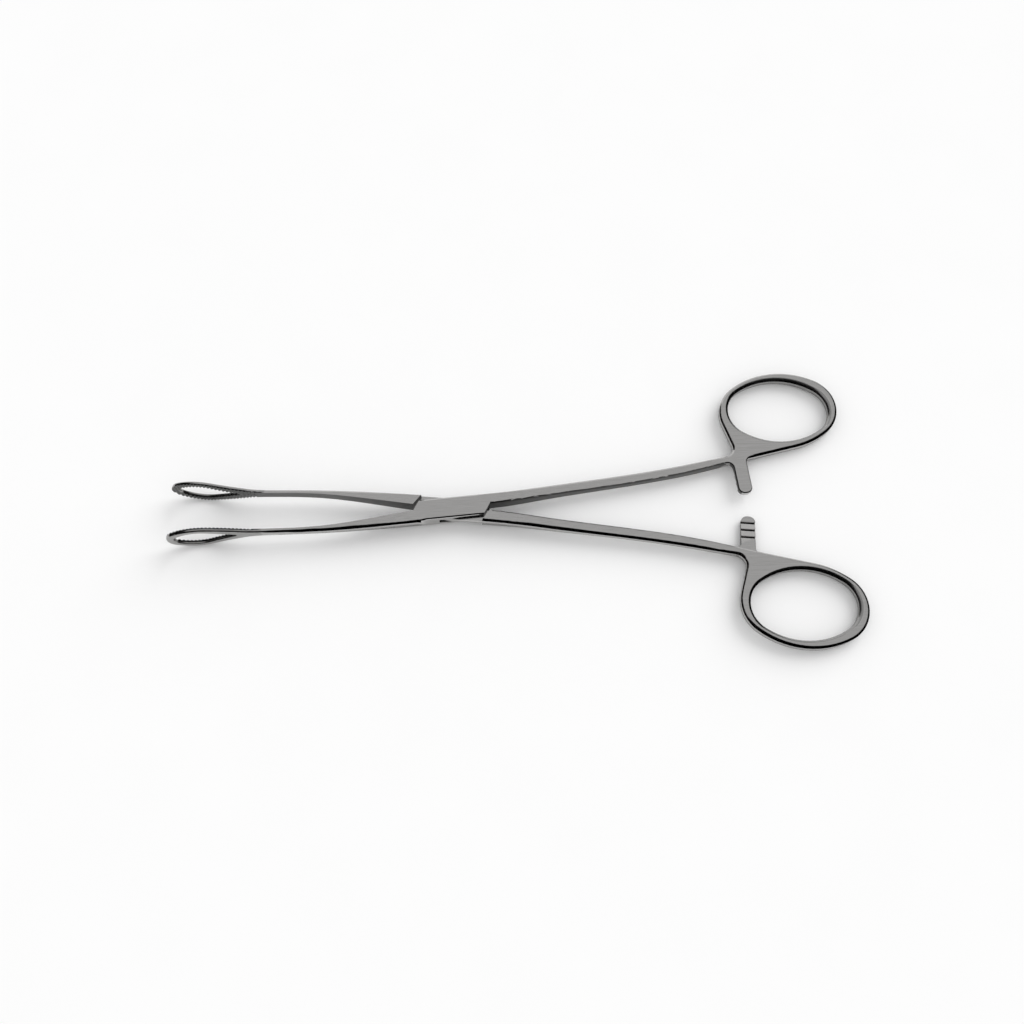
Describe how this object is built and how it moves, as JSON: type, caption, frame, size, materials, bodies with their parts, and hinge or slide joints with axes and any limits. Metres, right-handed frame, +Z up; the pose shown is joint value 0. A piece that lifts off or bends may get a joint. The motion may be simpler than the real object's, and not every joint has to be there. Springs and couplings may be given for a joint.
{
  "type": "sponge holding forceps",
  "caption": "Ring-handled box-lock forceps with open serrated loop jaws and an interlocking ratchet, for holding sponges and swabs.",
  "frame": {"origin": "on the pivot axis, at the underside face of the lock", "axes": "+X from the pivot towards the finger rings along the instrument's mid-line, -X towards the jaws, +Z up out of the lock's top face, +Y towards the box arm's ring"},
  "size_m": [0.2426, 0.1062, 0.013],
  "materials": {
    "instrument_steel": "satin"
  },
  "bodies": {
    "box_half": {"box_arm": "instrument_steel", "pivot_rivet": "instrument_steel"},
    "tongue_half": {"tongue_arm": "instrument_steel"}
  },
  "joints": [
    {"name": "pivot", "type": "hinge", "parent": "box_half", "child": "tongue_half", "pos_m": [0, 0, 0.003], "axis": [0, 0, -1], "range_deg": [-10.28, 32]}
  ]
}
